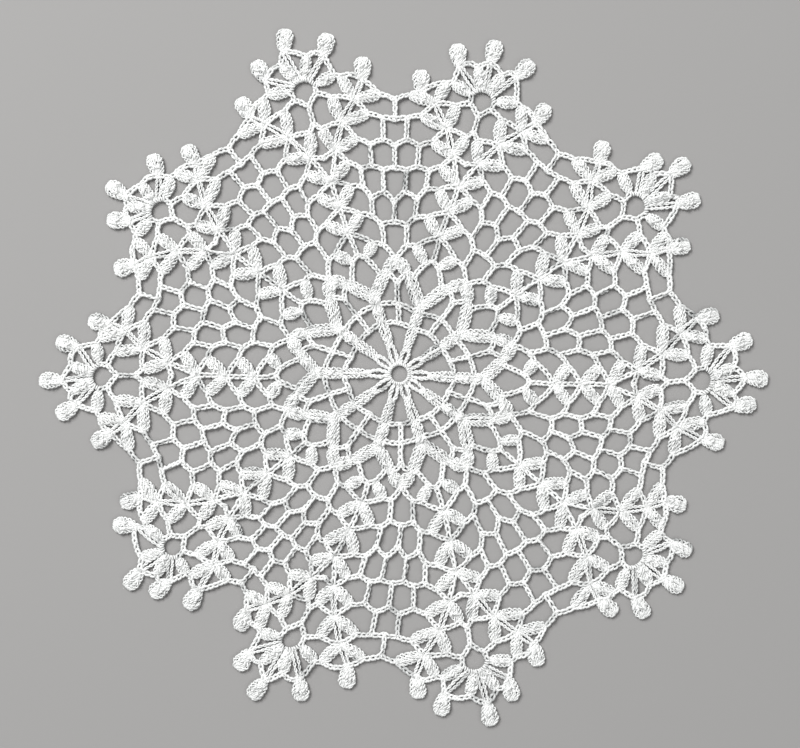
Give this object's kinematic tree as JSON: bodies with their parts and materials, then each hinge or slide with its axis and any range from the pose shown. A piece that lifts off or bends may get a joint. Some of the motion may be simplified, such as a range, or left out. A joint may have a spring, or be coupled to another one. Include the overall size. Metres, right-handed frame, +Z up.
{
  "type": "crocheted lace doily",
  "caption": "Round white crocheted lace doily with a petalled centre, an open net between leafy stems, and fans edged with bobbles.",
  "frame": {"origin": "centre of the doily's bounding box, on its underside", "axes": "+Z up from the underside; +X towards the right and +Y towards the top of the doily seen from above, lying flat"},
  "size_m": [0.2486, 0.238, 0.0033],
  "materials": {
    "cotton": "white mercerised cotton crochet thread, soft sheen, tight stitches with fine dark gaps between the strands"
  },
  "bodies": {
    "root": {"doily": "cotton"}
  },
  "joints": []
}
